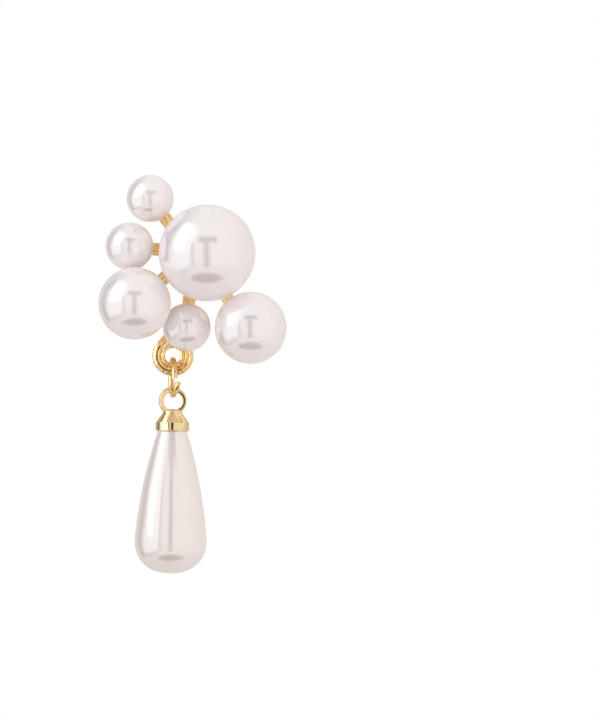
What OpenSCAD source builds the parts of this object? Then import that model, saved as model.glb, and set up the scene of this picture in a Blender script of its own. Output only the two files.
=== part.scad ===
// Drop earring: six round pearls on a ridged gold frame, and a pear-shaped pearl on a jump ring.
// Millimetres. +X is to the viewer's right, +Z is up and -Y is the front. The origin is on the
// ear post's axis, at the back of its pad, where the ear lobe sits.

/* [Round pearls] */
// Diameter of the large pearl
large_d = 12; // [10:0.5:12.5]
// Diameter of the two medium pearls
medium_d = 9; // [7:0.5:9]
// Diameter of the three small pearls
small_d = 6; // [4.5:0.5:6]
// Place of the large pearl, across and up from the ear post
large_at = [1.80, 0.00]; // [-12:0.05:12]
// Place of the medium pearl on the left
medium_left_at = [-7.16, -6.21]; // [-12:0.01:12]
// Place of the medium pearl on the right
medium_right_at = [7.17, -9.23]; // [-12:0.01:12]
// Place of the small pearl at the top
small_top_at = [-5.25, 6.75]; // [-12:0.01:12]
// Place of the small pearl in the middle
small_middle_at = [-7.79, 0.85]; // [-12:0.01:12]
// Place of the small pearl at the bottom
small_bottom_at = [-0.72, -9.15]; // [-12:0.01:12]

/* [Seats] */
// How far a medium pearl's back stands in front of its arm
medium_lift = 1.5; // [1.4:0.05:2.5]
// How far the back of a large or small pearl stands in front of its arm
low_lift = 0.2; // [0.15:0.05:0.3]
// Radius of the stem under a seat
stem_r = 1.0; // [0.8:0.05:1.2]
// Height of a seat's rim above the pearl's back
rim_h = 0.3; // [0.2:0.05:0.4]
// Radius of the peg in a pearl
peg_r = 0.4; // [0.3:0.05:0.5]

/* [Arms and loop] */
// Width of an arm
arm_w = 1.6; // [1.4:0.05:1.8]
// Thickness of an arm, front to back
arm_t = 1.4; // [1.2:0.05:1.6]
// Radius of the round rail along each edge of an arm
rail_r = 0.22; // [0.18:0.01:0.25]
// Radius of the hub where the arms meet
hub_r = 2.5; // [2.4:0.05:3]
// Place of the loop's centre, across and up from the ear post
loop_at = [-2.47, -12.68]; // [-14:0.01:14]
// Outer radius of the loop
loop_outer_r = 2.55; // [2.4:0.05:2.7]
// Radius of the hole in the loop
loop_hole_r = 0.925; // [0.9:0.005:1]
// Where the neck runs into the loop, in degrees round it from the right
neck_angle = 141; // [135:1:150]

/* [Ear post] */
// Radius of the post
post_r = 0.4; // [0.35:0.05:0.5]
// Length of the post behind its pad
post_len = 10; // [9:0.5:12]
// Radius of the pad
pad_r = 2.2; // [1.5:0.1:2.4]
// Thickness of the pad
pad_t = 0.4; // [0.3:0.05:0.6]

/* [Jump ring] */
// Radius of the wire
ring_wire_r = 0.35; // [0.3:0.01:0.36]
// Inner radius of the ring
ring_inner_r = 1.85; // [1.84:0.01:2]
// Turn of the ring about the vertical, in degrees
ring_turn = 6; // [0:1:8]
// Sideways lean of the end that is bent aside, in degrees
stub_lean = 17; // [0:1:20]
// Length of the end that is bent aside, in degrees round the ring
stub_arc = 76; // [60:1:80]

/* [Drop] */
// Lean of the drop from the vertical, in degrees
drop_lean = 0.9; // [0:0.1:2]
// Radius of the hole in the eye
eye_hole_r = 1.17; // [1.1:0.01:1.25]
// Radius of the eye's wire
eye_wire_r = 0.285; // [0.25:0.005:0.32]
// Radius of the cap's neck
neck_r = 1.2; // [1.1:0.05:1.3]
// Radius of the cap's eight-sided band, at its corners
band_r = 2.1; // [2:0.05:2.3]
// Height of the band
band_h = 1.14; // [1:0.02:1.4]
// Height of the sloping shoulder above the band
shoulder_h = 1.03; // [0.8:0.01:1.2]
// Turn of the band's corners about the drop's axis, in degrees
band_turn = 3.7; // [0:0.1:44]
// Length of the pear-shaped pearl
drop_len = 17.5; // [15:0.5:20]
// Radius that the pear-shaped pearl's long sides swell to at the bottom
swell_r = 4.64; // [4:0.01:5]
// Radius of the arc that its long sides follow
side_arc_r = 57.1; // [50:0.1:80]
// Height of its blunt end
blunt_h = 4.6; // [4:0.1:5.5]
// Fullness of the blunt end: 2 is an ellipse, and more is squarer
blunt_power = 2.25; // [2:0.05:2.5]

/* [Hidden] */
$fn = 96;
gap = 0.05;
cut = 1;
gold = [0.87, 0.70, 0.41];
steel = [0.75, 0.76, 0.78];
pearl_white = [0.93, 0.89, 0.88];

// Depths are measured from the pad's back towards the front.
arm_back = pad_t + gap;
arm_front = arm_back + arm_t;
arm_mid = (arm_back + arm_front) / 2;
hub_front = arm_front + 0.1;
spigot_r = 0.6;
spigot_h = 0.8;

// The arms' section: the body under the rails, and the crowned band between the grooves.
body_half_w = arm_w / 2 - 0.05;
body_drop = 0.2;
back_bevel = 0.25;
band_half_w = 0.33;
crown_r = 0.75;

// The loop's section: a broad outer ridge and a narrower inner one, with a groove between.
outer_ridge_r = 0.45;
inner_ridge_r = 0.36;
outer_ridge_at = loop_outer_r - outer_ridge_r;
inner_ridge_at = loop_hole_r + inner_ridge_r;
ridge_proud = 0.04;
inner_ridge_low = 0.1;
groove_depth = 0.3;
loop_mid_r = (loop_outer_r + loop_hole_r) / 2;
neck_len = 4.6;

// The ring hangs in the loop's hole, and the eye hangs on the ring.
hang_gap = 0.09;
ring_r = ring_inner_r + ring_wire_r;
ring_z = loop_at.y - loop_hole_r + hang_gap - ring_inner_r;
eye_gap = 0.1;
eye_r = eye_hole_r + eye_wire_r;
eye_z = -(eye_hole_r - ring_wire_r - eye_gap);
neck_top_z = eye_z - eye_hole_r - 0.06;
neck_h = 0.4;
shoulder_z = neck_top_z - neck_h;
band_z = shoulder_z - shoulder_h;
cap_bottom_z = band_z - band_h;
band_bevel = 0.18;
drop_peg_r = 0.5;
drop_peg_h = 4;
drop_z = cap_bottom_z - gap - drop_len;

function seat_r(d) = 0.7 + d / 7.5;
function peg_h(d) = 0.28 * d;
function lift_of(d) = d == medium_d ? medium_lift : low_lift;
function pearl_depth(d) = arm_front + lift_of(d) + gap + d / 2;
function heading(at) = atan2(at.y, at.x);
function reach(at) = sqrt(at.x * at.x + at.y * at.y);

// Half width of the pear-shaped pearl at a height above its lowest point.
function side_r(h) = swell_r - pow(h + 0.36, 2) / (2 * side_arc_r);
function fullness(h) = h >= blunt_h ? 1 : pow(1 - pow(1 - h / blunt_h, blunt_power), 1 / blunt_power);
function drop_r(h) = side_r(h) * fullness(h);

// Draws what is laid out across, up and towards the front.
module face_on() {
    rotate([90, 0, 0])
        children();
}

module arm_section() {
    front = arm_front - body_drop;
    polygon([
        [-body_half_w, front],
        [-body_half_w, arm_back + back_bevel],
        [back_bevel - body_half_w, arm_back],
        [body_half_w - back_bevel, arm_back],
        [body_half_w, arm_back + back_bevel],
        [body_half_w, front]
    ]);
    for (side = [-1, 1])
        translate([side * (arm_w / 2 - rail_r), arm_front - rail_r])
            circle(r = rail_r);
    intersection() {
        translate([-band_half_w, front - body_drop])
            square([2 * band_half_w, 2 * body_drop + cut]);
        translate([0, arm_front - crown_r])
            circle(r = crown_r);
    }
}

module bar(start, angle, length) {
    translate([start.x, start.y, 0])
        rotate([0, 0, angle])
            rotate([90, 0, 90])
                linear_extrude(length)
                    arm_section();
}

module arm_to(at) {
    inset = 1.2;
    angle = heading(at);
    bar([inset * cos(angle), inset * sin(angle)], angle, reach(at) - inset);
}

// A seat on a round boss, which is the end of its arm, with its dish and its peg.
module seat(at, d) {
    root = arm_t;
    lift = lift_of(d);
    rim = lift + rim_h;
    flare = 0.5;
    translate([at.x, at.y, arm_front]) {
        difference() {
            rotate_extrude()
                polygon([
                    [0, -root],
                    [stem_r, -root],
                    [stem_r, max(0, lift - flare)],
                    [seat_r(d), lift],
                    [seat_r(d), rim],
                    [0, rim]
                ]);
            translate([0, 0, lift + d / 2 + gap])
                sphere(r = d / 2 + gap);
        }
        translate([0, 0, -root])
            cylinder(r = peg_r, h = root + lift + gap + peg_h(d));
    }
}

module hub() {
    difference() {
        translate([0, 0, arm_back])
            cylinder(r = hub_r, h = hub_front - arm_back);
        translate([0, 0, arm_back - cut])
            cylinder(r = spigot_r + gap, h = cut + spigot_h + gap);
    }
}

module loop_section() {
    outer_high = arm_front + ridge_proud - outer_ridge_r;
    outer_low = arm_back - ridge_proud + outer_ridge_r;
    inner_high = arm_front - inner_ridge_low - inner_ridge_r;
    inner_low = arm_back + inner_ridge_low + inner_ridge_r;
    inset = 0.02;
    translate([inner_ridge_at, arm_back + groove_depth])
        square([outer_ridge_at - inner_ridge_at, arm_t - 2 * groove_depth]);
    for (v = [outer_low, outer_high])
        translate([outer_ridge_at, v])
            circle(r = outer_ridge_r);
    translate([outer_ridge_at - outer_ridge_r + inset, outer_low])
        square([2 * (outer_ridge_r - inset), outer_high - outer_low]);
    for (v = [inner_low, inner_high])
        translate([inner_ridge_at, v])
            circle(r = inner_ridge_r);
    translate([inner_ridge_at - inner_ridge_r + inset, inner_low])
        square([2 * (inner_ridge_r - inset), inner_high - inner_low]);
}

module loop() {
    translate([loop_at.x, loop_at.y, 0])
        rotate_extrude()
            loop_section();
}

module loop_neck() {
    length = neck_len;
    away = neck_angle - 90;
    start = loop_at + loop_mid_r * [cos(neck_angle), sin(neck_angle)];
    bar(start, away, length);
}

module setting() {
    color(gold)
        face_on() {
            hub();
            for (at = [small_top_at, small_middle_at, medium_left_at, small_bottom_at, medium_right_at])
                arm_to(at);
            seat(large_at, large_d);
            for (at = [medium_left_at, medium_right_at])
                seat(at, medium_d);
            for (at = [small_top_at, small_middle_at, small_bottom_at])
                seat(at, small_d);
            loop_neck();
            loop();
        }
}

module ear_post() {
    tip = 0.25;
    color(steel)
        face_on() {
            cylinder(r = pad_r, h = pad_t);
            cylinder(r = spigot_r, h = pad_t + gap + spigot_h);
            translate([0, 0, -post_len])
                cylinder(r = post_r, h = post_len + pad_t / 2);
            translate([0, 0, -post_len - tip])
                cylinder(r1 = post_r - tip, r2 = post_r, h = tip);
        }
}

module round_pearl(at, d) {
    color(pearl_white)
        face_on()
            translate([at.x, at.y, pearl_depth(d)])
                difference() {
                    sphere(d = d);
                    translate([0, 0, -d / 2 - cut])
                        cylinder(r = peg_r + gap, h = cut + peg_h(d) + gap);
                }
}

module pearl_large() {
    round_pearl(large_at, large_d);
}

module pearl_medium_left() {
    round_pearl(medium_left_at, medium_d);
}

module pearl_medium_right() {
    round_pearl(medium_right_at, medium_d);
}

module pearl_small_top() {
    round_pearl(small_top_at, small_d);
}

module pearl_small_middle() {
    round_pearl(small_middle_at, small_d);
}

module pearl_small_bottom() {
    round_pearl(small_bottom_at, small_d);
}

// An arc of the ring's wire, round the ring from its front over its top.
module wire_arc(from, to, wire_r) {
    rotate([0, 0, from])
        rotate_extrude(angle = to - from)
            translate([ring_r, 0])
                circle(r = wire_r);
}

module jump_ring() {
    front_end = -3;
    lowest = 270;
    stub_root = 4;
    color(gold)
        translate([loop_at.x, -arm_mid, ring_z])
            rotate([0, 0, ring_turn])
                rotate([90, 0, -90]) {
                    wire_arc(front_end, lowest, ring_wire_r);
                    translate([0, -ring_r, 0])
                        rotate([-stub_lean, 0, 0])
                            translate([0, ring_r, 0])
                                wire_arc(lowest - stub_root, lowest + stub_arc, ring_wire_r - 0.005);
                }
}

// Draws a piece of the drop, whose own origin is at the wire that it hangs on.
module hung() {
    translate([loop_at.x, -arm_mid, ring_z - ring_r])
        rotate([0, drop_lean, 0])
            children();
}

// Cuts the eight flats of a slope that starts at a height and leans in by an angle.
module eight_flats(z, angle) {
    size = 6;
    for (k = [0:7])
        rotate([0, 0, band_turn + 22.5 + 45 * k])
            translate([band_r * cos(22.5), 0, z])
                rotate([0, angle, 0])
                    translate([-size / 2, -size / 2, 0])
                        cube([size, size, size]);
}

module drop_cap() {
    shoulder_slope = atan2(shoulder_h, band_r * cos(22.5) - neck_r + 0.03);
    bevel_slope = 45;
    color(gold)
        hung() {
            translate([0, 0, eye_z])
                rotate([90, 0, 0])
                    rotate_extrude()
                        translate([eye_r, 0])
                            circle(r = eye_wire_r);
            translate([0, 0, shoulder_z - 0.2])
                cylinder(r = neck_r, h = neck_h + 0.2);
            difference() {
                translate([0, 0, cap_bottom_z])
                    rotate([0, 0, band_turn])
                        cylinder(r = band_r, h = band_h + shoulder_h, $fn = 8);
                eight_flats(band_z, shoulder_slope);
                eight_flats(cap_bottom_z + band_bevel, 180 - bevel_slope);
            }
            translate([0, 0, cap_bottom_z - drop_peg_h])
                cylinder(r = drop_peg_r, h = drop_peg_h + band_h);
        }
}

module drop_pearl() {
    end_steps = 14;
    side_steps = 12;
    end_heights = [for (k = [0:end_steps]) blunt_h * (1 - cos(90 * k / end_steps))];
    side_heights = [for (k = [1:side_steps]) blunt_h + (drop_len - blunt_h) * k / side_steps];
    color(pearl_white)
        hung()
            translate([0, 0, drop_z])
                difference() {
                    rotate_extrude()
                        polygon([
                            for (h = end_heights) [drop_r(h), h],
                            for (h = side_heights) [drop_r(h), h],
                            [0, drop_len]
                        ]);
                    translate([0, 0, drop_len - drop_peg_h - gap])
                        cylinder(r = drop_peg_r + gap, h = drop_peg_h + gap + cut);
                }
}

setting();
ear_post();
pearl_large();
pearl_medium_left();
pearl_medium_right();
pearl_small_top();
pearl_small_middle();
pearl_small_bottom();
jump_ring();
drop_cap();
drop_pearl();
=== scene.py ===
"""Looks of a pearl drop earring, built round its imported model.

Sizes in the classes are millimetres. A face-on place is given across (to the viewer's
right), up, and out (from the ear towards the viewer). Every mesh is put in metres at the end,
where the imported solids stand.
"""
import logging
import math
from abc import ABC, abstractmethod
from dataclasses import dataclass, field
from enum import Enum
from typing import Iterable, Optional, Sequence

import bmesh
import bpy
from mathutils import Matrix, Vector, noise


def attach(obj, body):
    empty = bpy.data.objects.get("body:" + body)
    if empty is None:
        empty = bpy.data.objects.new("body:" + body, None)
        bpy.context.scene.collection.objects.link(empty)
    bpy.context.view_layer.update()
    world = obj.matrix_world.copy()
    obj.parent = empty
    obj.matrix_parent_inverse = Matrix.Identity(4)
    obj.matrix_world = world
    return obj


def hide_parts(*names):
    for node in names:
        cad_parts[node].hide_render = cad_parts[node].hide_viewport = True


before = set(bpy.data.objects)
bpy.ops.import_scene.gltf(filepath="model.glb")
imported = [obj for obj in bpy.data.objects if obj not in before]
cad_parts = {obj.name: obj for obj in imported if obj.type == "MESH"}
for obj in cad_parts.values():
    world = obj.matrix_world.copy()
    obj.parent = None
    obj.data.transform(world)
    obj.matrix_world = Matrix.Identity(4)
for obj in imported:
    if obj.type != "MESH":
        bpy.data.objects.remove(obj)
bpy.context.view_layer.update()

LOG = logging.getLogger("earring")
MM = 0.001
UNIT = (0.0, 1.0)
ROUND_STEPS = 64
ARM_FRONT = 1.85
GAP = 0.05
LINK_ACROSS = -2.47
RING_R = 2.2
NOISE_STEPS = (1.0, 2.7, -1.3)
Span = tuple[float, float]
Triple = tuple[float, float, float]
Colour = Triple
Outline = Sequence[Span]
Part = bmesh.types.BMesh
Tree = bpy.types.NodeTree
Node = bpy.types.Node
Socket = bpy.types.NodeSocket


class Body(Enum):
    """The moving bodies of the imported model."""

    CLUSTER = "cluster"
    RING = "ring"
    DROP = "drop"


class Slot(Enum):
    """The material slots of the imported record."""

    SETTING = "gold_setting"
    WIRE = "gold_wire"
    CAP = "gold_cap"
    POST = "post_steel"
    ROUND_PEARL = "round_pearl"
    DROP_PEARL = "drop_pearl"


def turned_by(degrees: float, axis: str) -> Matrix:
    """A turn about an axis."""
    return Matrix.Rotation(math.radians(degrees), 4, axis)


def moved_to(*place: float) -> Matrix:
    """A move to a place."""
    return Matrix.Translation(place)


# Turns what is laid out across, up and out into the frame, where the front is -Y.
FACE_ON = turned_by(90, "X")


def evenly(start: float, end: float, steps: int) -> list[float]:
    """Spaces values evenly from a start to an end, both included."""
    return [start + (end - start) * step / steps for step in range(steps + 1)]


def crests(ridges: Iterable[Triple], reach: float, steps: int) -> Outline:
    """Draws the outline of round ridges side by side, with a sharp groove between each two.

    Args:
        ridges: Middle, radius and top of each ridge, from left to right.
        reach: How far down its sides a ridge stays round, in degrees from its top.
        steps: How many facets a ridge has.

    Returns:
        The outline, from left to right.
    """
    turns = [math.radians(turn) for turn in evenly(-reach, reach, steps)]
    return [
        (middle + radius * math.sin(turn), top - radius + radius * math.cos(turn))
        for middle, radius, top in ridges for turn in turns
    ]


def whole(part: Part) -> list:
    """Lists all that a part is made of."""
    return part.verts[:] + part.edges[:] + part.faces[:]


def close_openings(part: Part) -> None:
    """Closes each opening of a part with one face."""
    edges = [edge for edge in part.edges if edge.is_boundary]
    bmesh.ops.holes_fill(part, edges=edges, sides=0)


def new_mesh(name: str, part: Part) -> bpy.types.Mesh:
    """Makes a mesh of a part.

    Args:
        name: The mesh's name.
        part: The part, which is used up.

    Returns:
        The mesh.
    """
    mesh = bpy.data.meshes.new(name)
    part.to_mesh(mesh)
    part.free()
    return mesh


def new_object(name: str, data: bpy.types.ID) -> bpy.types.Object:
    """Puts a new object in the scene.

    Args:
        name: The object's name.
        data: Its mesh, light or camera.

    Returns:
        The object.
    """
    made = bpy.data.objects.new(name, data)
    bpy.context.scene.collection.objects.link(made)
    return made


class Shape:
    """A bmesh in millimetres, with the shaping steps that the pieces share."""

    def __init__(self) -> None:
        """Starts with nothing."""
        self.bm = bmesh.new()

    def turned(self, outline: Outline, steps: int, place: Matrix = Matrix()) -> None:
        """Turns an outline about the Z axis into a closed solid.

        Args:
            outline: Radius and height of each point, from the axis back to the axis.
            steps: How many facets go round.
            place: Where the solid goes.
        """
        part = bmesh.new()
        points = [part.verts.new((radius, 0.0, height)) for radius, height in outline]
        edges = [part.edges.new(pair) for pair in zip(points, points[1:])]
        bmesh.ops.spin(
            part, geom=points + edges, cent=(0, 0, 0), axis=(0, 0, 1),
            angle=math.tau, steps=steps, use_merge=True,
        )
        self.take(part, place)

    def drawn(
        self, outline: Outline, length: float, steps: int, sway: float, place: Matrix
    ) -> None:
        """Draws an outline out along the Z axis into a closed bar.

        Args:
            outline: The points of the section, whose last one joins the first.
            length: Length of the bar.
            steps: How many facets lie along it.
            sway: How far its top bows out and in along its length.
            place: Where the bar's lower end goes.
        """
        part = bmesh.new()
        points = [part.verts.new((across, up, 0.0)) for across, up in outline]
        edges = [part.edges.new(pair) for pair in zip(points, points[1:] + points[:1])]
        bmesh.ops.spin(
            part, geom=points + edges, cent=(0, 0, 0), axis=(0, 0, 1),
            dvec=(0, 0, length / steps), angle=0.0, steps=steps,
        )
        close_openings(part)
        low, high = (pick(height for _, height in outline) for pick in (min, max))
        for vert in part.verts:
            share = (vert.co.y - low) / (high - low)
            vert.co.y += sway * share * math.sin(math.tau * vert.co.z / length)
        self.take(part, place)

    def take(self, part: Part, place: Matrix = Matrix()) -> None:
        """Adds a finished part to the shape, whole and facing outwards.

        Args:
            part: The part, which is used up.
            place: Where it goes.
        """
        bmesh.ops.remove_doubles(part, verts=part.verts[:], dist=0.0005)
        bmesh.ops.dissolve_degenerate(part, edges=part.edges[:], dist=0.0002)
        bmesh.ops.transform(part, matrix=place, verts=part.verts[:])
        bmesh.ops.recalc_face_normals(part, faces=part.faces[:])
        self.merge(part)

    def merge(self, part: Part) -> None:
        """Adds a part just as it is.

        Args:
            part: The part, which is used up.
        """
        mesh = new_mesh("part", part)
        self.bm.from_mesh(mesh)
        bpy.data.meshes.remove(mesh)

    def soften(self, width: float, segments: int, least_angle: float) -> None:
        """Rounds every edge that is sharper than an angle.

        Args:
            width: How far the rounding reaches from the edge.
            segments: How many facets it has.
            least_angle: The angle between the two faces, in degrees.
        """
        limit = math.radians(least_angle)
        edges = [
            edge for edge in self.bm.edges
            if edge.is_manifold and edge.calc_face_angle(0.0) > limit
        ]
        bmesh.ops.bevel(
            self.bm, geom=edges, offset=width, offset_type="OFFSET", segments=segments,
            profile=0.5, affect="EDGES", material=-1, clamp_overlap=True,
        )

    def faceted(self, sides: int, crown: float) -> None:
        """Presses slightly crowned flats into a solid that is turned about the Z axis.

        Args:
            sides: How many flats there are.
            crown: How full the flats are, from 0 for flat to 1 for round.
        """
        half = math.pi / sides
        for vert in self.bm.verts:
            angle = math.atan2(vert.co.y, vert.co.x) % (2 * half) - half
            flat = math.cos(half) / math.cos(angle)
            vert.co.xy *= crown + (1 - crown) * flat
        self.bm.normal_update()

    def knead(self, depth: float, spread: float, seed: float) -> None:
        """Gives the skin the soft unevenness of what is cast, polished or dipped by hand.

        Args:
            depth: How far a point may move.
            spread: How wide the dents and rises are.
            seed: Picks one unevenness out of many.
        """
        self.bm.normal_update()
        shift = Vector([seed * step for step in NOISE_STEPS])
        for vert in self.bm.verts:
            vert.co += vert.normal * depth * noise.noise(vert.co / spread + shift)

    def to_object(self, name: str, place: Matrix, sharp_angle: float) -> bpy.types.Object:
        """Makes the object, in metres and with its place in its mesh.

        Args:
            name: The object's name.
            place: Where the shape goes, in millimetres.
            sharp_angle: Edges sharper than this stay crisp, in degrees.

        Returns:
            The object, at the origin of the scene.
        """
        bmesh.ops.transform(self.bm, matrix=place, verts=self.bm.verts[:])
        bmesh.ops.scale(self.bm, vec=(MM, MM, MM), verts=self.bm.verts[:])
        mesh = new_mesh(name, self.bm)
        mesh.shade_smooth()
        mesh.set_sharp_from_angle(angle=math.radians(sharp_angle))
        return new_object(name, mesh)


class NodeDesk:
    """Lays out the nodes of one tree."""

    def __init__(self, tree: Tree) -> None:
        """Starts with an empty tree."""
        self.tree = tree
        tree.nodes.clear()

    def add(self, kind: str, sockets: Optional[dict] = None, **settings: object) -> Node:
        """Adds a node.

        Args:
            kind: The node's type.
            sockets: Plain values for its sockets, by name or number.
            **settings: Values for its own properties.

        Returns:
            The node.
        """
        node = self.tree.nodes.new(kind)
        for key, value in settings.items():
            setattr(node, key, value)
        for key, value in (sockets or {}).items():
            node.inputs[key].default_value = value
        return node

    def join(self, source: Socket, target: Socket) -> None:
        """Joins two sockets."""
        self.tree.links.new(source, target)

    def end(self, kind: str, surface: Socket) -> None:
        """Adds the tree's last node, which shows a surface."""
        self.join(surface, self.add(kind).inputs["Surface"])

    def blend(self, factor: Socket, low: Socket | Colour, high: Socket | Colour) -> Socket:
        """Blends two colours by a mask.

        Args:
            factor: The mask.
            low: The colour where the mask is 0.
            high: The colour where the mask is 1.

        Returns:
            The socket with the blended colour.
        """
        mix = self.add("ShaderNodeMix", data_type="RGBA")
        self.join(factor, mix.inputs[0])
        for number, colour in ((6, low), (7, high)):
            if isinstance(colour, tuple):
                mix.inputs[number].default_value = (*colour, 1.0)
            else:
                self.join(colour, mix.inputs[number])
        return mix.outputs[2]

    def effect(self, name: str, place: Socket, sockets: dict[str, object]) -> Node:
        """Places a shared effect.

        Args:
            name: The effect's name.
            place: The coordinates that it reads.
            sockets: Its own values.

        Returns:
            The effect's node.
        """
        node = self.add("ShaderNodeGroup", sockets, node_tree=bpy.data.node_groups[name])
        self.join(place, node.inputs["Vector"])
        return node

    def product(self, first: Socket, second: Socket) -> Socket:
        """Multiplies two values.

        Args:
            first: One value.
            second: The other value.

        Returns:
            The socket with the product.
        """
        node = self.add("ShaderNodeMath", operation="MULTIPLY")
        self.join(first, node.inputs[0])
        self.join(second, node.inputs[1])
        return node.outputs[0]

    def spread(self, value: Socket, source: Span = UNIT, target: Span = UNIT) -> Socket:
        """Maps a value from one range to another and keeps it inside.

        Args:
            value: The value.
            source: The range that it comes from.
            target: The range that it goes to.

        Returns:
            The socket with the mapped value.
        """
        ends = zip(("From Min", "From Max", "To Min", "To Max"), (*source, *target))
        node = self.add("ShaderNodeMapRange", dict(ends))
        self.join(value, node.inputs["Value"])
        return node.outputs["Result"]


class EffectDesk(NodeDesk):
    """Lays out the nodes of a shared effect, which reads coordinates."""

    def __init__(self, name: str, inputs: dict[str, str], outputs: dict[str, str]) -> None:
        """Starts the effect's group.

        Args:
            name: The effect's name.
            inputs: The kind of each input apart from the coordinates.
            outputs: The kind of each output.
        """
        super().__init__(bpy.data.node_groups.new(name, "ShaderNodeTree"))
        for side, sockets in (("INPUT", {"Vector": "Vector", **inputs}), ("OUTPUT", outputs)):
            for label, kind in sockets.items():
                kind = f"NodeSocket{kind}"
                self.tree.interface.new_socket(label, in_out=side, socket_type=kind)
        self.gate = self.add("NodeGroupInput")
        self.out = self.add("NodeGroupOutput")

    def give(self, label: str, source: Socket) -> None:
        """Gives out one of the effect's outputs."""
        self.join(source, self.out.inputs[label])

    def clouds(self, scale: str, detail: float, roughness: float = 0.5) -> Socket:
        """Adds cloudy noise.

        Args:
            scale: The input that says how fine the clouds are.
            detail: How many finer layers they have.
            roughness: How strong the finer layers are.

        Returns:
            The socket with the noise.
        """
        texture = self.add("ShaderNodeTexNoise", {"Detail": detail, "Roughness": roughness})
        self.join(self.gate.outputs["Vector"], texture.inputs["Vector"])
        self.join(self.gate.outputs[scale], texture.inputs["Scale"])
        return texture.outputs["Fac"]


class Effects:
    """The node groups that the finishes share."""

    def build(self) -> None:
        """Builds each group once."""
        self.add_grain()
        self.add_wear()
        self.add_drift()

    @staticmethod
    def add_grain() -> None:
        """Adds fine grain: a height and a mask from two sizes of noise."""
        desk = EffectDesk(
            "fine_grain", {"Fine Scale": "Float", "Broad Scale": "Float", "Broad Share": "Float"},
            {"Height": "Float", "Mask": "Float"},
        )
        fine = desk.clouds("Fine Scale", detail=3.0, roughness=0.6)
        broad = desk.clouds("Broad Scale", detail=2.0)
        mix = desk.add("ShaderNodeMix", data_type="FLOAT")
        desk.join(desk.gate.outputs["Broad Share"], mix.inputs[0])
        desk.join(fine, mix.inputs[2])
        desk.join(broad, mix.inputs[3])
        desk.give("Height", mix.outputs[0])
        desk.give("Mask", desk.spread(broad, source=(0.35, 0.65)))

    @staticmethod
    def add_wear() -> None:
        """Adds edge wear and painted crease shade: a mask of the edges that rub, and a mask of the
        creases that are painted dark as shade.
        """
        desk = EffectDesk(
            "edge_wear_and_crease_shade", {"Scale": "Float", "Amount": "Float"},
            {"Mask": "Float", "Painted Crease Shade": "Float"},
        )
        shape = desk.add("ShaderNodeNewGeometry")
        patches = desk.clouds("Scale", detail=4.0)
        # The first mask finds the edges that rub; the second finds the hollows and paints shade
        # into them.
        for label, bend, patch in (
            ("Mask", (0.52, 0.62), (0.4, 0.6)), ("Painted Crease Shade", (0.47, 0.40), (0.3, 0.55)),
        ):
            found = desk.spread(shape.outputs["Pointiness"], source=bend)
            both = desk.product(found, desk.spread(patches, source=patch))
            desk.give(label, desk.product(both, desk.gate.outputs["Amount"]))

    @staticmethod
    def add_drift() -> None:
        """Adds tone drift: a colour that wanders slowly between two."""
        desk = EffectDesk(
            "tone_drift", {"Scale": "Float", "Low": "Color", "High": "Color"},
            {"Color": "Color"},
        )
        mask = desk.spread(desk.clouds("Scale", detail=2.0), source=(0.3, 0.7))
        desk.give("Color", desk.blend(mask, desk.gate.outputs["Low"], desk.gate.outputs["High"]))


@dataclass(frozen=True)
class Finish(ABC):
    """A finish: its colour wanders between two tones, and its skin has a fine grain."""

    name: str
    tones: tuple[Colour, Colour]
    drift_scale: float
    fine_scale: float
    broad_scale: float
    broad_share: float
    roughness: Span
    bump: float
    bump_h: float

    @abstractmethod
    def dress(self, desk: NodeDesk, shader: Node) -> None:
        """Joins the finish's nodes to the shader."""

    def material(self) -> bpy.types.Material:
        """Makes the material, or finds it if it is made.

        Returns:
            The material.
        """
        made = bpy.data.materials.get(self.name)
        if made is not None:
            return made
        made = bpy.data.materials.new(self.name)
        made.use_nodes = True
        desk = NodeDesk(made.node_tree)
        shader = desk.add("ShaderNodeBsdfPrincipled")
        desk.end("ShaderNodeOutputMaterial", shader.outputs["BSDF"])
        self.dress(desk, shader)
        return made

    def lay_skin(self, desk: NodeDesk, shader: Node, place: Socket) -> Socket:
        """Gives the shader its fine grain, and mixes the wandering colour.

        Args:
            desk: The material's desk.
            shader: The material's shader.
            place: The coordinates that the effects read.

        Returns:
            The socket with the colour.
        """
        drift = desk.effect("tone_drift", place, {
            "Scale": self.drift_scale, "Low": (*self.tones[0], 1.0), "High": (*self.tones[1], 1.0),
        })
        grain = desk.effect("fine_grain", place, {
            "Fine Scale": self.fine_scale, "Broad Scale": self.broad_scale,
            "Broad Share": self.broad_share,
        })
        roughness = desk.spread(grain.outputs["Mask"], target=self.roughness)
        desk.join(roughness, shader.inputs["Roughness"])
        bump = desk.add("ShaderNodeBump", {"Strength": self.bump, "Distance": self.bump_h * MM})
        desk.join(grain.outputs["Height"], bump.inputs["Height"])
        desk.join(bump.outputs["Normal"], shader.inputs["Normal"])
        return drift.outputs["Color"]


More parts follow.
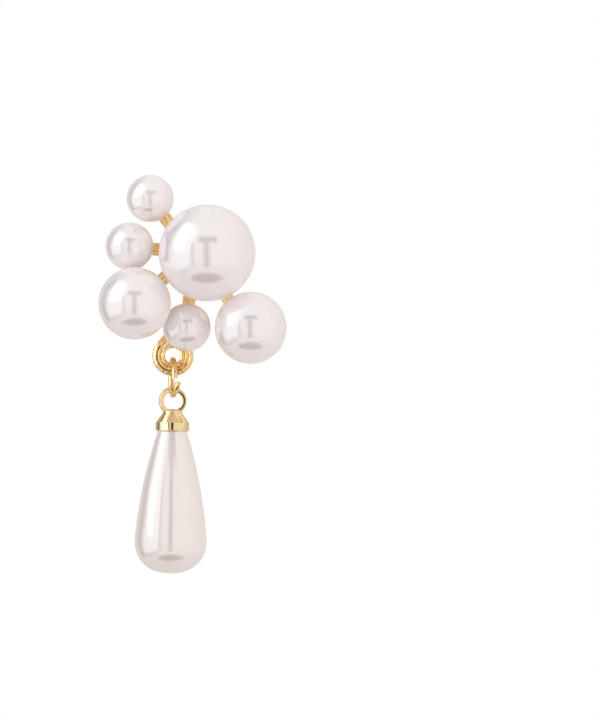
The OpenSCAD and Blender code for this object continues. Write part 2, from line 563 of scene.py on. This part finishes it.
@dataclass(frozen=True)
class Plating(Finish):
    """Polished metal, whose edges rub paler, and whose creases get painted shade: they are darkened
    towards a dark colour.
    """

    tones: tuple[Colour, Colour] = ((0.80, 0.52, 0.20), (0.90, 0.67, 0.35))
    rubbed: Colour = (0.94, 0.80, 0.56)
    # Painted shade: the dark colour that the creases are darkened towards.
    painted_crease_shade: Colour = (0.16, 0.08, 0.03)
    drift_scale: float = 350.0
    fine_scale: float = 9000.0
    broad_scale: float = 1600.0
    broad_share: float = 0.5
    roughness: Span = (0.08, 0.16)
    bump: float = 0.6
    bump_h: float = 0.003
    # How strong both the edge wear and the painted crease shade are.
    wear_and_shade: float = 0.8
    wear_scale: float = 1500.0
    stretch: Triple = (1.0, 1.0, 1.0)

    def dress(self, desk: NodeDesk, shader: Node) -> None:
        """Joins the metal's nodes to the shader.

        Args:
            desk: The material's desk.
            shader: The material's shader.
        """
        mapping = desk.add("ShaderNodeMapping", {"Scale": self.stretch})
        desk.join(desk.add("ShaderNodeTexCoord").outputs["Object"], mapping.inputs["Vector"])
        place = mapping.outputs["Vector"]
        bright = self.lay_skin(desk, shader, place)
        wear_and_shade = desk.effect("edge_wear_and_crease_shade", place, {"Scale": self.wear_scale, "Amount": self.wear_and_shade})
        worn = desk.blend(wear_and_shade.outputs["Mask"], bright, self.rubbed)
        # Painted shade: the creases are darkened towards the crease colour.
        colour = desk.blend(wear_and_shade.outputs["Painted Crease Shade"], worn, self.painted_crease_shade)
        desk.join(colour, shader.inputs["Base Color"])
        shader.inputs["Metallic"].default_value = 1.0


@dataclass(frozen=True)
class PearlLacquer(Finish):
    """Pearl lacquer: a silky glow under a clear coat over a milky body.

    Its painted glow: a pearl gives off its own colour, seen only where something mirrors it, in
    place of the light that it passes on inside to the neighbours that mirror it.
    """

    tones: tuple[Colour, Colour] = ((0.915, 0.870, 0.875), (0.920, 0.873, 0.855))
    drift_scale: float = 250.0
    fine_scale: float = 5500.0
    broad_scale: float = 1100.0
    broad_share: float = 0.8
    roughness: Span = (0.15, 0.19)
    bump: float = 0.5
    bump_h: float = 0.004
    glow: float = 0.25
    # Painted glow: how strongly a pearl lights up where it is mirrored, though it is no lamp.
    painted_milk_glow: float = 0.13
    ior: float = 1.5
    coat: float = 0.6
    coat_roughness: float = 0.09

    def dress(self, desk: NodeDesk, shader: Node) -> None:
        """Joins the lacquer's nodes to the shader.

        Args:
            desk: The material's desk.
            shader: The material's shader.
        """
        place = desk.add("ShaderNodeTexCoord").outputs["Object"]
        colour = self.lay_skin(desk, shader, place)
        desk.join(colour, shader.inputs["Base Color"])
        for socket, value in (
            ("Metallic", self.glow), ("IOR", self.ior), ("Coat Weight", self.coat),
            ("Coat Roughness", self.coat_roughness), ("Coat IOR", self.ior),
            ("Emission Strength", self.painted_milk_glow),
        ):
            shader.inputs[socket].default_value = value
        # Painted glow: the emission shows only to mirrored rays.
        mirrored = desk.add("ShaderNodeLightPath").outputs["Is Glossy Ray"]
        painted_milk_glow = desk.blend(mirrored, (0.0, 0.0, 0.0), colour)
        desk.join(painted_milk_glow, shader.inputs["Emission Color"])


def metalwork() -> bpy.types.Collection:
    """The collection of the metal pieces, for a light that only metal mirrors."""
    name = "metalwork"
    return bpy.data.collections.get(name) or bpy.data.collections.new(name)


@dataclass
class Piece(ABC):
    """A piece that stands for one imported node."""

    node: str
    suffix: str
    body: Body
    slot: Slot
    finish: Finish
    place: Matrix
    sharp_angle: float = 40.0

    @abstractmethod
    def shape(self) -> Shape:
        """Builds the piece's shape, in millimetres."""

    def build(self) -> None:
        """Builds the piece, dresses it, hangs it on its moving body and hides the imported node."""
        name = f"{self.node}_{self.suffix}"
        made = self.shape().to_object(name, self.place, self.sharp_angle)
        made.data.materials.append(self.finish.material())
        if isinstance(self.finish, Plating):
            metalwork().objects.link(made)
        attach(made, self.body.value)
        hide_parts(self.node)
        LOG.info("%s: %d faces, on %s", name, len(made.data.polygons), self.body.value)


@dataclass(frozen=True)
class Seat:
    """The seat of one round pearl: where it is, and how far it stands off its arm."""

    pearl: str
    across: float
    up: float
    diameter: float
    lift: float
    undersize: float = 0.04
    has_arm: bool = True
    least_cup_r: float = 0.7
    cup_share: float = 1 / 7.5
    peg_share: float = 0.28

    @property
    def cup_r(self) -> float:
        """Radius of the cup that the pearl sits in."""
        return self.least_cup_r + self.cup_share * self.diameter

    @property
    def pearl_r(self) -> float:
        """Radius of the pearl itself, which is a little under its nominal size."""
        return (self.diameter - self.undersize) / 2

    @property
    def peg_h(self) -> float:
        """How far the peg reaches into the pearl."""
        return self.peg_share * self.diameter

    @property
    def reach(self) -> float:
        """Distance from the hub's middle."""
        return math.hypot(self.across, self.up)

    @property
    def heading(self) -> float:
        """Direction from the hub's middle, as an angle from the right."""
        return math.atan2(self.up, self.across)


LARGE, MEDIUM, SMALL = 12.0, 9.0, 6.0
LOW_LIFT, MEDIUM_LIFT = 0.2, 1.5
SEATS = (
    Seat("pearl_large", 1.80, 0.00, LARGE, LOW_LIFT, has_arm=False),
    Seat("pearl_medium_left", -7.16, -6.21, MEDIUM, MEDIUM_LIFT),
    Seat("pearl_medium_right", 7.17, -9.23, MEDIUM, MEDIUM_LIFT, undersize=0.1),
    Seat("pearl_small_top", -5.25, 6.75, SMALL, LOW_LIFT, undersize=0.18),
    Seat("pearl_small_middle", -7.79, 0.85, SMALL, LOW_LIFT, undersize=0.08),
    Seat("pearl_small_bottom", -0.72, -9.15, SMALL, LOW_LIFT),
)


@dataclass
class Setting(Piece):
    """The cast frame: hub, ridged arms, dished seats with their pegs, neck and loop."""

    seats: Sequence[Seat] = SEATS
    back: float = 0.45
    front: float = ARM_FRONT
    arm_w: float = 1.6
    arm_inset: float = 1.2
    arm_ridges: Sequence[Triple] = (
        (-0.58, 0.30, 0.0), (0.0, 0.50, 0.04), (0.58, 0.30, 0.0),
    )
    arm_ridge_reach: float = 40.0
    front_trim: float = 0.16
    back_trim: float = 0.12
    arm_sway: float = -0.013
    hub_r: float = 2.5
    hub_rise: float = 0.1
    spigot_hole: Span = (0.65, 0.85)
    stem_r: float = 1.0
    flare_h: float = 0.5
    step: float = 0.015
    rim_h: float = 0.3
    peg_r: float = 0.4
    loop_at: Span = (LINK_ACROSS, -12.68)
    loop_outer_r: float = 2.55
    loop_hole_r: float = 0.925
    loop_ridges: Sequence[Triple] = ((1.22, 0.29, -0.07), (1.73, 0.20, -0.08))
    loop_ridge_reach: float = 60.0
    loop_slope: Outline = (
        (1.93, -0.56), (2.03, -0.56), (2.05, -0.10), (2.06, -0.01), (2.11, 0.03), (2.18, 0.02),
        (2.28, -0.03), (2.38, -0.10), (2.46, -0.18), (2.51, -0.28), (2.53, -0.42),
    )
    groove: Span = (1.92, 2.04)
    worn_half: float = 0.60
    worn_from: float = 0.25
    worn_fade: float = 2.5
    neck_angle: float = 141.0
    neck_len: float = 4.6

    def shape(self) -> Shape:
        """Builds the frame.

        Returns:
            The shape.
        """
        shape = Shape()
        self.add_hub(shape)
        for seat in self.seats:
            self.add_seat(shape, seat)
            if seat.has_arm:
                start = self.point(seat.heading, self.arm_inset)
                self.add_bar(shape, start, seat.heading, seat.reach - self.arm_inset, self.step)
        turn = math.radians(self.neck_angle)
        start = self.point(turn, (self.loop_outer_r + self.loop_hole_r) / 2)
        self.add_bar(
            shape, Vector(self.loop_at) + start, turn - math.radians(90), self.neck_len, 0.0
        )
        self.add_loop(shape)
        return shape

    @staticmethod
    def point(heading: float, reach: float) -> Vector:
        """The point that lies so far off in a direction."""
        return Vector((math.cos(heading), math.sin(heading))) * reach

    def add_hub(self, shape: Shape) -> None:
        """Adds the hub, with the blind hole for the ear post's spigot.

        Args:
            shape: The shape that it joins.
        """
        hole_r, hole_h = self.spigot_hole
        top = self.front + self.hub_rise
        shape.turned(
            [(0, self.back + hole_h), (hole_r, self.back + hole_h), (hole_r, self.back),
             (self.hub_r, self.back), (self.hub_r, top), (0, top)],
            steps=ROUND_STEPS,
        )

    def add_bar(
        self, shape: Shape, start: Vector, heading: float, length: float, tuck: float
    ) -> None:
        """Adds a bar of the arms' section: two rails, and a crowned band between them.

        Args:
            shape: The shape that it joins.
            start: Where it starts, across and up.
            heading: Its direction, as an angle from the right.
            length: Its length.
            tuck: How far its back is set in, so that it isn't flush with what it crosses.
        """
        half, back = self.arm_w / 2, self.back + tuck
        ridges = [(across, radius, self.front + top) for across, radius, top in self.arm_ridges]
        outline = [
            (-half, ridges[0][2] - self.front_trim),
            *crests(ridges, self.arm_ridge_reach, steps=8),
            (half, ridges[-1][2] - self.front_trim), (half, back + self.back_trim),
            (half - self.back_trim, back), (self.back_trim - half, back),
            (-half, back + self.back_trim),
        ]
        along = (
            moved_to(*start, 0) @ Matrix.Rotation(heading, 4, "Z")
            @ turned_by(90, "Y") @ turned_by(90, "Z")
        )
        shape.drawn(outline, length, steps=24, sway=self.arm_sway * length, place=along)

    def add_seat(self, shape: Shape, seat: Seat) -> None:
        """Adds a seat on its stem, dished for its pearl, with the peg in the dish.

        Args:
            shape: The shape that it joins.
            seat: The seat.
        """
        root = self.front - self.back - 2 * self.step
        dish_r = seat.diameter / 2 + GAP
        centre = seat.lift + dish_r
        rim = seat.lift + self.rim_h
        lip_r = math.sqrt(dish_r ** 2 - (centre - rim) ** 2)
        peg_top = seat.lift + GAP + seat.peg_h
        dish = [
            (radius, centre - math.sqrt(dish_r ** 2 - radius ** 2))
            for radius in evenly(lip_r, self.peg_r, steps=6)
        ]
        shape.turned(
            [(0, -root), (self.stem_r, -root), (self.stem_r, max(0.0, seat.lift - self.flare_h)),
             (seat.cup_r, seat.lift), (seat.cup_r, rim), *dish, (self.peg_r, peg_top),
             (0, peg_top)],
            steps=48, place=moved_to(seat.across, seat.up, self.front),
        )

    def add_loop(self, shape: Shape) -> None:
        """Adds the loop: an inner ridge, a thin middle one and a sloped outer one on each side.

        Args:
            shape: The shape that it joins.
        """
        middle = (self.front + self.back) / 2
        drawn = [*crests(self.loop_ridges, self.loop_ridge_reach, steps=10), *self.loop_slope]
        front = [(radius, self.front + height) for radius, height in drawn]
        back = [(radius, 2 * middle - height) for radius, height in reversed(front)]
        loop = Shape()
        loop.turned([*front, *back, front[0]], steps=160)
        for vert in loop.bm.verts:
            radius = vert.co.xy.length
            if self.groove[0] < radius < self.groove[1]:
                turn = vert.co.x / radius
                worn = 0.5 + 0.5 * math.tanh(self.worn_fade * (turn - self.worn_from))
                flat = middle + math.copysign(self.worn_half, vert.co.z - middle)
                vert.co.z += (flat - vert.co.z) * worn
        loop.knead(depth=0.035, spread=0.3, seed=4.0)
        shape.take(loop.bm, moved_to(*self.loop_at, 0))


@dataclass
class EarPost(Piece):
    """The plain ear post with its pad and its spigot."""

    post_r: float = 0.4
    post_len: float = 10.0
    tip: float = 0.25
    pad_r: float = 2.2
    pad_t: float = 0.4
    spigot_r: float = 0.6
    spigot_top: float = 1.25

    def shape(self) -> Shape:
        """Turns the post.

        Returns:
            The shape.
        """
        shape = Shape()
        end = -self.post_len - self.tip
        shape.turned(
            [(0, end), (self.post_r - self.tip, end), (self.post_r, -self.post_len),
             (self.post_r, 0), (self.pad_r, 0), (self.pad_r, self.pad_t),
             (self.spigot_r, self.pad_t), (self.spigot_r, self.spigot_top),
             (0, self.spigot_top)],
            steps=ROUND_STEPS,
        )
        shape.soften(width=0.07, segments=3, least_angle=30)
        return shape


@dataclass(kw_only=True)
class RoundPearl(Piece):
    """A round pearl, drilled half way from the back."""

    seat: Seat
    dents: Outline
    seed: float
    hole_r: float = 0.45

    def shape(self) -> Shape:
        """Builds the ball, drills it and gives it its unevenness.

        Returns:
            The shape.
        """
        radius = self.seat.pearl_r
        part = bmesh.new()
        bmesh.ops.create_uvsphere(part, u_segments=112, v_segments=72, radius=radius)
        mouth = -math.sqrt(radius ** 2 - self.hole_r ** 2)
        cut = bmesh.ops.bisect_plane(
            part, geom=whole(part), plane_co=(0, 0, mouth), plane_no=(0, 0, -1), clear_outer=True,
        )
        rim = [item for item in cut["geom_cut"] if isinstance(item, bmesh.types.BMEdge)]
        wall = bmesh.ops.extrude_edge_only(part, edges=rim)["geom"]
        low = [item for item in wall if isinstance(item, bmesh.types.BMVert)]
        floor = self.seat.peg_h + GAP - radius
        bmesh.ops.translate(part, vec=(0, 0, floor - mouth), verts=low)
        close_openings(part)
        shape = Shape()
        shape.take(part)
        for depth, spread in self.dents:
            shape.knead(depth, spread, self.seed)
        return shape


@dataclass
class JumpRing(Piece):
    """The open jump ring, with one end bent aside."""

    wire_r: float = 0.35
    ring_r: float = RING_R
    front_end: float = -3.0
    lowest: float = 270.0
    stub_arc: float = 76.0
    stub_lean: float = 17.0

    def shape(self) -> Shape:
        """Bends the wire round, and its last end aside.

        Returns:
            The shape.
        """
        part = bmesh.new()
        section = turned_by(self.front_end, "Z") @ moved_to(self.ring_r, 0, 0) @ turned_by(90, "X")
        bmesh.ops.create_circle(part, segments=28, radius=self.wire_r, matrix=section)
        bent = bmesh.ops.spin(
            part, geom=whole(part), cent=(0, 0, 0), axis=(0, 0, 1),
            angle=math.radians(self.lowest - self.front_end), steps=120,
        )
        aside = turned_by(-self.stub_lean, "X")
        bottom = Vector((0, -self.ring_r, 0))
        bmesh.ops.spin(
            part, geom=bent["geom_last"], cent=bottom + aside @ -bottom,
            axis=aside @ Vector((0, 0, 1)), angle=math.radians(self.stub_arc), steps=36,
        )
        close_openings(part)
        shape = Shape()
        shape.take(part)
        shape.soften(width=0.05, segments=2, least_angle=60)
        return shape


@dataclass
class DropCap(Piece):
    """The eight-sided cap: its wire eye, solder, neck, shoulder, band and peg."""

    eye_r: float = 1.455
    wire_r: float = 0.285
    eye_z: float = -0.72
    eye_turn: float = 8.0
    eye_bevel: float = 9.0
    eye_squareness: float = 0.42
    solder: Triple = (1.08, 0.5, 0.26)
    neck_r: float = 1.2
    neck_top: float = -1.95
    neck_root: float = 0.2
    neck_edge: Outline = ((0.0, -0.12), (-0.03, -0.05), (-0.09, 0.0))
    shoulder_top: float = -2.2
    band_top: float = -3.38
    bottom: float = -4.52
    band_r: float = 2.1
    chamfer: float = 0.2
    corner_w: float = 0.14
    corner_angle: float = 12.0
    crown: float = 0.6
    peg_r: float = 0.5
    peg_h: float = 4.0
    peg_root: float = 0.5

    def shape(self) -> Shape:
        """Builds the cap and joins its parts into one solid.

        Returns:
            The shape.
        """
        shape = Shape()
        self.add_body(shape)
        section = []
        for turn in evenly(0.0, math.tau, steps=40):
            point = Vector([
                self.wire_r * math.copysign(abs(part) ** self.eye_squareness, part)
                for part in (math.cos(turn), math.sin(turn))
            ])
            point.rotate(Matrix.Rotation(math.radians(self.eye_bevel), 2))
            section.append((self.eye_r + point.x, point.y))
        upright = moved_to(0, 0, self.eye_z) @ turned_by(self.eye_turn, "Z") @ FACE_ON
        shape.turned(section, steps=120, place=upright)
        root = self.shoulder_top - self.neck_root
        edge = [(self.neck_r + across, self.neck_top + up) for across, up in self.neck_edge]
        shape.turned(
            [(0, root), (self.neck_r, root), *edge, (0, self.neck_top)], steps=ROUND_STEPS,
        )
        bead = bmesh.new()
        bmesh.ops.create_uvsphere(bead, u_segments=48, v_segments=24, radius=1.0)
        shape.take(bead, moved_to(0, 0, self.neck_top) @ Matrix.Diagonal((*self.solder, 1.0)))
        return shape

    def add_body(self, shape: Shape) -> None:
        """Adds the band with its shoulder and chamfer, and the peg under it.

        Args:
            shape: The shape that it joins.
        """
        body = Shape()
        slope = zip(
            evenly(self.band_r, self.neck_r, steps=6),
            evenly(self.band_top, self.shoulder_top, steps=6),
        )
        body.turned(
            [(0, self.bottom), (self.band_r - self.chamfer, self.bottom),
             (self.band_r, self.bottom + self.chamfer), *slope, (0, self.shoulder_top)],
            steps=ROUND_STEPS,
        )
        body.faceted(sides=8, crown=self.crown)
        corners = [
            edge for edge in body.bm.edges
            if edge.calc_face_angle(0.0) > math.radians(self.corner_angle)
            and abs(edge.verts[0].co.z - edge.verts[1].co.z) > self.chamfer / 2
        ]
        bmesh.ops.bevel(
            body.bm, geom=corners, offset=self.corner_w, offset_type="OFFSET", segments=1,
            profile=0.5, affect="EDGES", material=-1,
        )
        body.soften(width=0.05, segments=3, least_angle=26)
        body.knead(depth=0.02, spread=0.4, seed=3.0)
        shape.merge(body.bm)
        peg = bmesh.new()
        bmesh.ops.create_cone(
            peg, cap_ends=True, segments=ROUND_STEPS // 2, radius1=self.peg_r,
            radius2=self.peg_r, depth=self.peg_h + self.peg_root,
            matrix=moved_to(0, 0, self.bottom + (self.peg_root - self.peg_h) / 2),
        )
        shape.take(peg)


@dataclass
class DropPearl(Piece):
    """The pear-shaped pearl, drilled from the top for the cap's peg."""

    length: float = 17.5
    foot: float = -22.07
    swell_r: float = 4.64
    swell_h: float = -0.36
    side_arc_r: float = 57.1
    blunt_h: float = 4.6
    blunt_power: float = 2.25
    hole: Span = (0.55, 4.05)

    def half_width(self, height: float) -> float:
        """Works out the pearl's radius.

        Args:
            height: Height above its lowest point.

        Returns:
            The radius there.
        """
        side = self.swell_r - (height - self.swell_h) ** 2 / (2 * self.side_arc_r)
        if height >= self.blunt_h:
            return side
        power = self.blunt_power
        return side * (1 - (1 - height / self.blunt_h) ** power) ** (1 / power)

    def shape(self) -> Shape:
        """Turns the pearl from its outline.

        Returns:
            The shape.
        """
        heights = [self.blunt_h * (1 - math.cos(turn)) for turn in evenly(0, math.pi / 2, steps=40)]
        heights += evenly(self.blunt_h, self.length, steps=40)[1:]
        hole_r, hole_h = self.hole
        floor = self.length - hole_h
        outline = [(self.half_width(height), height) for height in heights]
        outline += [(hole_r, self.length), (hole_r, floor), (0, floor)]
        shape = Shape()
        shape.turned(outline, steps=2 * ROUND_STEPS, place=moved_to(0, 0, self.foot))
        shape.knead(depth=0.02, spread=4.0, seed=9.0)
        return shape


@dataclass(frozen=True)
class Aim:
    """A direction from the earring, seen from the camera, and a distance in metres."""

    azimuth: float
    elevation: float
    distance: float

    @property
    def direction(self) -> Vector:
        """The direction as a unit vector."""
        return turned_by(self.azimuth, "Z") @ turned_by(-self.elevation, "X") @ Vector((0, -1, 0))

    def matrix(self, centre: Vector) -> Matrix:
        """Place of something that looks at the centre along its own -Z.

        Args:
            centre: The point that it looks at.

        Returns:
            Its place.
        """
        turn = self.direction.to_track_quat("Z", "Y").to_matrix().to_4x4()
        return moved_to(*centre + self.direction * self.distance) @ turn


@dataclass(frozen=True)
class Panel:
    """A soft light panel; its size is in metres."""

    name: str
    aim: Aim
    size: Span
    radiance: float
    tint: Colour
    metal_only: bool = False

    def place(self, centre: Vector) -> None:
        """Hangs the panel.

        Args:
            centre: The point that it faces.
        """
        data = bpy.data.lights.new(self.name, "AREA")
        data.shape = "RECTANGLE"
        data.size, data.size_y = self.size
        data.color = self.tint
        data.energy = self.radiance * math.pi * self.size[0] * self.size[1]
        panel = new_object(self.name, data)
        panel.matrix_world = self.aim.matrix(centre)
        panel.visible_camera = False
        if self.metal_only:
            panel.light_linking.receiver_collection = metalwork()


@dataclass(frozen=True)
class Wash:
    """A very broad light without shadows: what a white room throws back, and what milky pearls pass
    on inside.
    """

    name: str
    aim: Aim
    strength: float
    tint: Colour
    breadth: float = 150.0

    def place(self, centre: Vector) -> None:
        """Hangs the light.

        Args:
            centre: The point that it faces.
        """
        data = bpy.data.lights.new(self.name, "SUN")
        data.angle = math.radians(self.breadth)
        data.color = self.tint
        data.energy = self.strength
        data.use_shadow = False
        wash = new_object(self.name, data)
        wash.matrix_world = self.aim.matrix(centre)
        wash.visible_camera = False
        wash.visible_glossy = False


@dataclass(frozen=True)
class Card:
    """A card that shows only in reflections; its size is in metres."""

    name: str
    aim: Aim
    size: Span
    tone: Colour

    def cut(self, card: Part, centre: Vector) -> None:
        """Cuts a straight-sided card that faces the centre.

        Args:
            card: The mesh that it is cut in.
            centre: The point that it faces.
        """
        bmesh.ops.create_grid(card, x_segments=1, y_segments=1, size=0.5)
        bmesh.ops.scale(card, vec=(*self.size, 1), verts=card.verts[:])
        bmesh.ops.transform(card, matrix=self.aim.matrix(centre), verts=card.verts[:])

    def place(self, centre: Vector) -> None:
        """Cuts the card and hangs it.

        Args:
            centre: The point that its place is counted from.
        """
        card = bmesh.new()
        self.cut(card, centre)
        mesh = new_mesh(self.name, card)
        paint = bpy.data.materials.new(self.name)
        paint.use_nodes = True
        desk = NodeDesk(paint.node_tree)
        glow = desk.add("ShaderNodeEmission", {"Color": (*self.tone, 1.0)})
        desk.end("ShaderNodeOutputMaterial", glow.outputs[0])
        mesh.materials.append(paint)
        hung = new_object(self.name, mesh)
        hung.visible_camera = False


@dataclass(frozen=True)
class TableCard(Card):
    """A half oval that lies flat, straight at the back; its size is its half width and depth."""

    def cut(self, card: Part, centre: Vector) -> None:
        """Cuts the half oval.

        Args:
            card: The mesh that it is cut in.
            centre: The point that its place is counted from.
        """
        middle = centre + self.aim.direction * self.aim.distance
        bmesh.ops.create_circle(card, cap_ends=True, segments=ROUND_STEPS, radius=1.0)
        bmesh.ops.scale(card, vec=(*self.size, 1), verts=card.verts[:])
        bmesh.ops.translate(card, vec=middle, verts=card.verts[:])
        bmesh.ops.bisect_plane(
            card, geom=whole(card), plane_co=middle, plane_no=(0, 1, 0), clear_outer=True,
        )


@dataclass
class Studio:
    """The white studio: camera, panels, washes, cards and surroundings."""

    centre: Vector = field(default_factory=lambda: Vector((0.0, -0.006, -0.013)))
    view_at: Span = (0.01327, -0.01321)
    pearl_plane: float = -0.008
    lens: float = 1000.0
    sensor: float = 36.0
    clip: Span = (0.01, 20.0)
    frame_height: float = 0.0889
    panels: Sequence[Panel] = (
        Panel("left_softbox", Aim(-72, 13, 0.6), (0.70, 1.2), 0.40, (0.74, 0.80, 0.92)),
        Panel("softbox_core", Aim(-75, 34, 0.58), (0.32, 0.60), 0.9, (0.94, 0.98, 1.0)),
        Panel("softbox_wing", Aim(-42, 36, 0.6), (0.30, 0.66), 0.12, (1.0, 0.98, 1.0)),
        Panel("right_panel", Aim(60, 12, 0.6), (0.66, 1.3), 0.05, (1.0, 0.97, 0.94)),
        Panel("glint", Aim(-61, 8, 0.55), (0.50, 0.8), 1.15, (1.0, 0.98, 0.95), metal_only=True),
    )
    washes: Sequence[Wash] = (
        Wash("front_wash", Aim(8, -8, 0.5), 1.9, (1.0, 0.985, 0.985)),
        Wash("back_wash", Aim(180, 0, 0.5), 2.1, (1.0, 0.93, 0.87)),
        Wash("left_wash", Aim(-90, 0, 0.5), 0.65, (1.0, 0.95, 0.94)),
        Wash("right_wash", Aim(90, 0, 0.5), 0.95, (1.0, 0.975, 0.965)),
    )
    cards: Sequence[Card] = (
        Card("stand_stem", Aim(-0.8, -2, 0.45), (0.13, 0.56), (0.44, 0.38, 0.38)),
        Card("stand_core", Aim(-0.8, -2, 0.44), (0.045, 0.54), (0.03, 0.02, 0.02)),
        Card("stand_arm", Aim(1.5, 34, 0.45), (0.34, 0.098), (0.12, 0.08, 0.08)),
        Card("softbox_edge", Aim(-35.5, -2, 0.5), (0.068, 0.50), (0.50, 0.45, 0.45)),
        Card("softbox_foot", Aim(-78, -36, 0.5), (0.46, 0.085), (0.58, 0.54, 0.53)),
        Card("left_flag", Aim(-118, 8, 0.5), (0.22, 0.8), (0.30, 0.23, 0.22)),
        TableCard("table_front", Aim(0, -75, 0.362), (0.24, 0.226), (0.16, 0.04, 0.0)),
    )
    front_tone: Colour = (1.02, 0.985, 0.985)
    side_tones: Sequence[tuple[Triple, Span, Colour]] = (
        ((0, 1, 0), (-0.3, 0.7), (0.76, 0.68, 0.63)),
        ((0, 0, 1), (0.25, 0.8), (1.09, 1.07, 1.07)),
        ((0, 0, -1), (0.35, 0.9), (0.88, 0.83, 0.81)),
        ((-0.74, 0.50, 0.45), (0.70, 0.92), (0.60, 0.55, 0.55)),
    )
    open_share: float = 0.15

    def build(self) -> None:
        """Sets up everything that isn't the earring."""
        self.add_camera()
        things = (*self.panels, *self.washes, *self.cards)
        for thing in things:
            thing.place(self.centre)
        self.add_surroundings()
        bpy.context.scene.view_settings.view_transform = "Standard"
        LOG.info("studio: %d panels, washes and cards", len(things))

    def add_camera(self) -> None:
        """Sets the camera straight in front, so that the earring lies as in the photograph."""
        data = bpy.data.cameras.new("camera")
        data.lens = self.lens
        data.sensor_width = self.sensor
        data.clip_start, data.clip_end = self.clip
        camera = new_object("camera", data)
        distance = self.frame_height * self.lens / self.sensor
        across, up = self.view_at
        camera.location = (across, self.pearl_plane - distance, up)
        camera.rotation_euler = (math.radians(90), 0, 0)
        bpy.context.scene.camera = camera

    def add_surroundings(self) -> None:
        """Makes the white background, and what the earring mirrors and is lit by from all round."""
        world = bpy.data.worlds.new("studio")
        bpy.context.scene.world = world
        world.use_nodes = True
        desk = NodeDesk(world.node_tree)
        direction = desk.add("ShaderNodeTexCoord").outputs["Generated"]
        colour = self.front_tone
        for towards, fade, tone in self.side_tones:
            turn = desk.add("ShaderNodeVectorMath", {1: towards}, operation="DOT_PRODUCT")
            desk.join(direction, turn.inputs[0])
            share = desk.spread(turn.outputs["Value"], source=fade)
            colour = desk.blend(share, colour, tone)
        rays = desk.add("ShaderNodeLightPath")
        around = desk.add("ShaderNodeBackground")
        desk.join(colour, around.inputs["Color"])
        shared = desk.spread(rays.outputs["Is Diffuse Ray"], target=(1.0, self.open_share))
        desk.join(shared, around.inputs["Strength"])
        white = desk.add("ShaderNodeBackground", {"Color": (1.0, 1.0, 1.0, 1.0)})
        mix = desk.add("ShaderNodeMixShader")
        sources = (rays.outputs["Is Camera Ray"], around.outputs[0], white.outputs[0])
        for source, target in zip(sources, mix.inputs):
            desk.join(source, target)
        desk.end("ShaderNodeOutputWorld", mix.outputs[0])


@dataclass
class Earring:
    """The whole earring: where its links hang, and the finish of each piece."""

    arm_mid: float = 1.15
    ring_up: float = -15.365
    ring_turn: float = 6.0
    drop_lean: float = 0.9
    # The cast gold's painted crease shade is a lighter brown than the other metals'.
    cast_gold: Plating = Plating(
        "cast_gold", painted_crease_shade=(0.34, 0.19, 0.08), bump_h=0.0015, roughness=(0.10, 0.18),
    )
    wire_gold: Plating = Plating("wire_gold", bump_h=0.002, roughness=(0.06, 0.11))
    cap_gold: Plating = Plating(
        "cap_gold", tones=((0.75, 0.57, 0.30), (0.82, 0.66, 0.38)), roughness=(0.06, 0.12),
        wear_and_shade=0.4,
    )
    steel: Plating = Plating(
        "post_steel_satin", tones=((0.70, 0.71, 0.73), (0.76, 0.77, 0.79)),
        rubbed=(0.86, 0.86, 0.87), roughness=(0.22, 0.32), stretch=(1.0, 0.15, 1.0),
    )
    round_lacquer: PearlLacquer = PearlLacquer("round_lacquer")
    drop_lacquer: PearlLacquer = PearlLacquer(
        "drop_lacquer", tones=((0.885, 0.842, 0.805), (0.895, 0.847, 0.80)),
        roughness=(0.13, 0.17), glow=0.24, coat=0.55, coat_roughness=0.12,
    )

    @property
    def ring_place(self) -> Matrix:
        """Place of the jump ring, whose own axis lies across it."""
        middle = moved_to(LINK_ACROSS, -self.arm_mid, self.ring_up)
        return middle @ turned_by(self.ring_turn - 90, "Z") @ turned_by(90, "X")

    @property
    def drop_place(self) -> Matrix:
        """Place of the drop, whose own origin is the wire that it hangs on."""
        wire = moved_to(LINK_ACROSS, -self.arm_mid, self.ring_up - RING_R)
        return wire @ turned_by(self.drop_lean, "Y")

    def pieces(self) -> Iterable[Piece]:
        """Lists the pieces, from the setting down to the drop.

        Yields:
            Each piece.
        """
        yield Setting("setting", "cast", Body.CLUSTER, Slot.SETTING, self.cast_gold, FACE_ON)
        yield EarPost("ear_post", "turned", Body.CLUSTER, Slot.POST, self.steel, FACE_ON, 50.0)
        dents = {
            LARGE: ((0.012, 3.2), (0.003, 0.9)),
            MEDIUM: ((0.014, 2.6), (0.007, 0.9)),
            SMALL: ((0.030, 1.5), (0.010, 0.5)),
        }
        for number, seat in enumerate(SEATS, start=1):
            out = ARM_FRONT + seat.lift + GAP + seat.pearl_r
            yield RoundPearl(
                seat.pearl, "dipped", Body.CLUSTER, Slot.ROUND_PEARL, self.round_lacquer,
                FACE_ON @ moved_to(seat.across, seat.up, out), 50.0, seat=seat,
                dents=dents[seat.diameter], seed=number,
            )
        yield JumpRing("jump_ring", "wire", Body.RING, Slot.WIRE, self.wire_gold, self.ring_place)
        yield DropCap(
            "drop_cap", "faceted", Body.DROP, Slot.CAP, self.cap_gold, self.drop_place, 9.5,
        )
        yield DropPearl(
            "drop_pearl", "dipped", Body.DROP, Slot.DROP_PEARL, self.drop_lacquer,
            self.drop_place, 50.0,
        )

    def build(self) -> None:
        """Builds every piece."""
        Effects().build()
        for piece in self.pieces():
            piece.build()


def main() -> None:
    """Builds the studio and the earring.
    """
    logging.basicConfig(level=logging.INFO, format="%(name)s: %(message)s")
    Studio().build()
    Earring().build()


if __name__ == "__main__":
    main()
